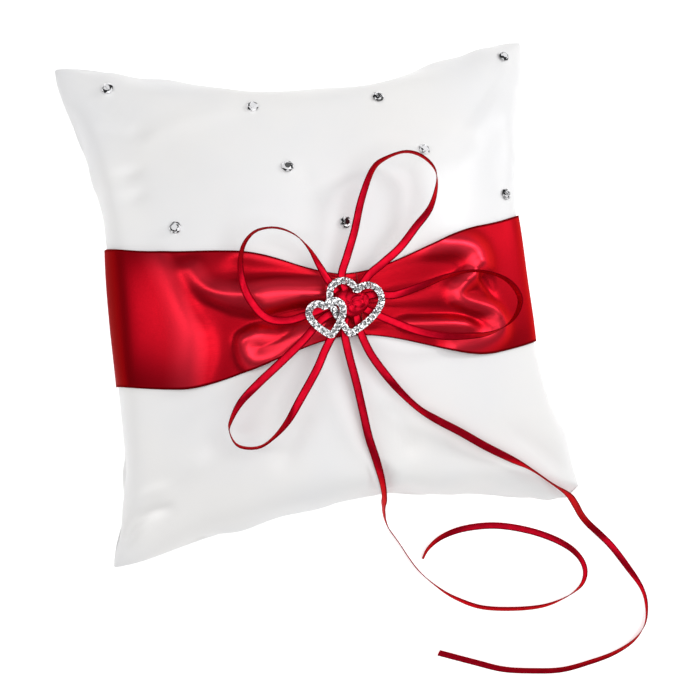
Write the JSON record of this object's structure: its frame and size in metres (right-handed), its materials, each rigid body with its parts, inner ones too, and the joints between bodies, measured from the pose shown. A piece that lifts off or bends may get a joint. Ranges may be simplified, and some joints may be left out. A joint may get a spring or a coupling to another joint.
{
  "type": "ring bearer pillow",
  "caption": "Square stuffed satin pillow with a gathered ribbon sash, a narrow ribbon bow with long tails for tying the rings, a double-heart brooch and glued rhinestones.",
  "frame": {"origin": "middle of the back panel, on the surface that the pillow rests on", "axes": "+Z out of the decorated face, +Y to the pillow's top edge, +X to its right-hand side seam"},
  "size_m": [0.2318, 0.2729, 0.0843],
  "materials": {
    "white_satin": "white satin with a soft sheen",
    "polyester_fibre": "matt white fibre",
    "white_thread": "white sewing thread",
    "red_satin": "glossy red satin",
    "red_ribbon": "red satin with woven edges",
    "red_thread": "red sewing thread",
    "silver_metal": "bright silver plating",
    "clear_crystal": "cut, foil-backed clear stone"
  },
  "bodies": {
    "root": {"bow_knot": "red_ribbon", "bow_loop_lower_left": "red_ribbon", "bow_loop_right": "red_ribbon", "bow_loop_upper_left": "red_ribbon", "bow_loop_upper_right": "red_ribbon", "brooch_stitch_left": "red_thread", "brooch_stitch_right": "red_thread", "closing_stitches": "white_thread", "fibre_filling": "polyester_fibre", "gathering_thread": "red_thread", "large_heart_frame": "silver_metal", "pillow_back_panel": "white_satin", "pillow_front_panel": "white_satin", "rhinestone_1": "clear_crystal", "rhinestone_2": "clear_crystal", "rhinestone_3": "clear_crystal", "rhinestone_4": "clear_crystal", "rhinestone_5": "clear_crystal", "rhinestone_6": "clear_crystal", "rhinestone_7": "clear_crystal", "rhinestone_8": "clear_crystal", "rhinestone_9": "clear_crystal", "ribbon_tail_left": "red_ribbon", "ribbon_tail_right": "red_ribbon", "sash_ribbon": "red_satin", "seam_thread": "white_thread", "small_heart_frame": "silver_metal"}
  },
  "joints": []
}
